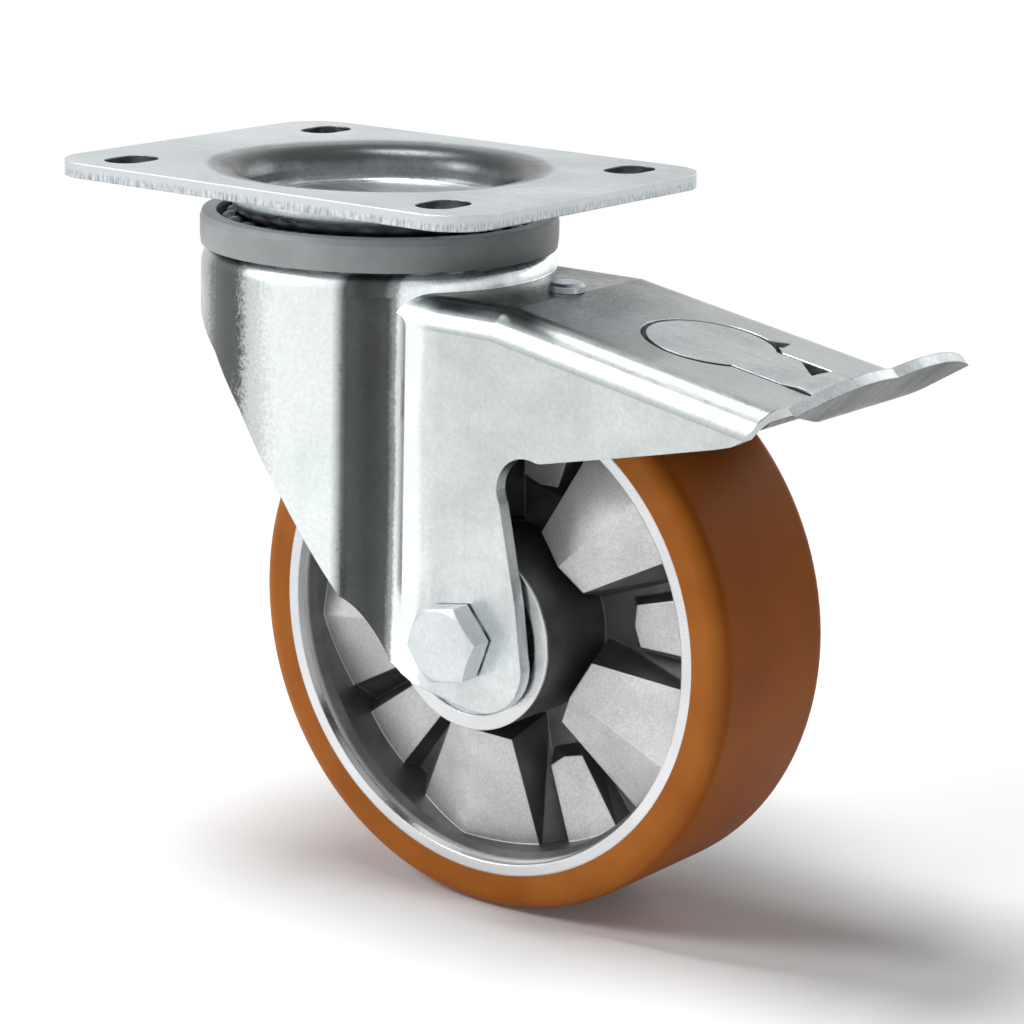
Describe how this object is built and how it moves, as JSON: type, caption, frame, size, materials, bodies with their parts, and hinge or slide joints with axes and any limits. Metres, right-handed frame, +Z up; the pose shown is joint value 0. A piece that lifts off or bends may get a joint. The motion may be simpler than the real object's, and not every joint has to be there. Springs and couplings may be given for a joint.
{
  "type": "swivel castor",
  "caption": "Heavy-duty swivel castor: slotted top plate, double ball-race head, pressed fork, ribbed cast wheel with a bonded tyre and a pedal brake for wheel and swivel.",
  "frame": {"origin": "centre of the plate's top face, on the swivel axis", "axes": "+Z up out of the plate's top face, +X from the swivel axis towards the wheel and the pedal, Y along the axle"},
  "size_m": [0.2324, 0.11, 0.188],
  "materials": {
    "zinc_sheet": "bright zinc-plated pressed steel",
    "zinc_fastener": "bright zinc-plated steel",
    "hard_steel": "hardened steel, plain",
    "ball_steel": "ground bearing steel",
    "seal_plastic": "moulded grey plastic",
    "cast_aluminium": "die-cast, fine grained",
    "tyre_amber": "cast polyurethane, satin"
  },
  "bodies": {
    "plate": {"top_plate": "zinc_sheet", "king_pin": "zinc_fastener", "lower_race": "hard_steel"},
    "fork": {"fork": "zinc_sheet", "seal_ring": "seal_plastic", "upper_balls": "ball_steel", "lower_balls": "ball_steel", "deck_rivet": "zinc_fastener", "brake_pin": "zinc_fastener", "axle_bolt": "zinc_fastener", "axle_nut": "zinc_fastener", "axle_tube": "hard_steel", "spacer_right": "zinc_fastener", "spacer_left": "zinc_fastener", "bearing_inner_right": "ball_steel", "bearing_inner_left": "ball_steel"},
    "wheel": {"wheel_centre": "cast_aluminium", "tyre": "tyre_amber", "bearing_outer_right": "ball_steel", "bearing_outer_left": "ball_steel", "bearing_balls_right": "ball_steel", "bearing_balls_left": "ball_steel", "bearing_shield_right": "hard_steel", "bearing_shield_left": "hard_steel"},
    "brake_lever": {"brake_lever": "zinc_sheet"},
    "brake_arm": {"brake_arm": "hard_steel"}
  },
  "joints": [
    {"name": "swivel", "type": "hinge", "parent": "plate", "child": "fork", "pos_m": [0, 0, -0.0207], "axis": [0, 0, 1], "continuous": true},
    {"name": "wheel_spin", "type": "hinge", "parent": "fork", "child": "wheel", "pos_m": [0.055, 0, -0.113], "axis": [0, 1, 0], "continuous": true},
    {"name": "brake_pedal", "type": "hinge", "parent": "fork", "child": "brake_lever", "pos_m": [0.124, 0, -0.04339], "axis": [0, 1, 0], "range_deg": [0, 15]},
    {"name": "brake_arm_rock", "type": "hinge", "parent": "fork", "child": "brake_arm", "pos_m": [0.062, 0, -0.0317], "axis": [0, 1, 0], "range_deg": [0, 2.6]}
  ],
  "couplings": [
    {"joint": "brake_arm_rock", "follows": "brake_pedal", "ratio": 0.17333}
  ]
}
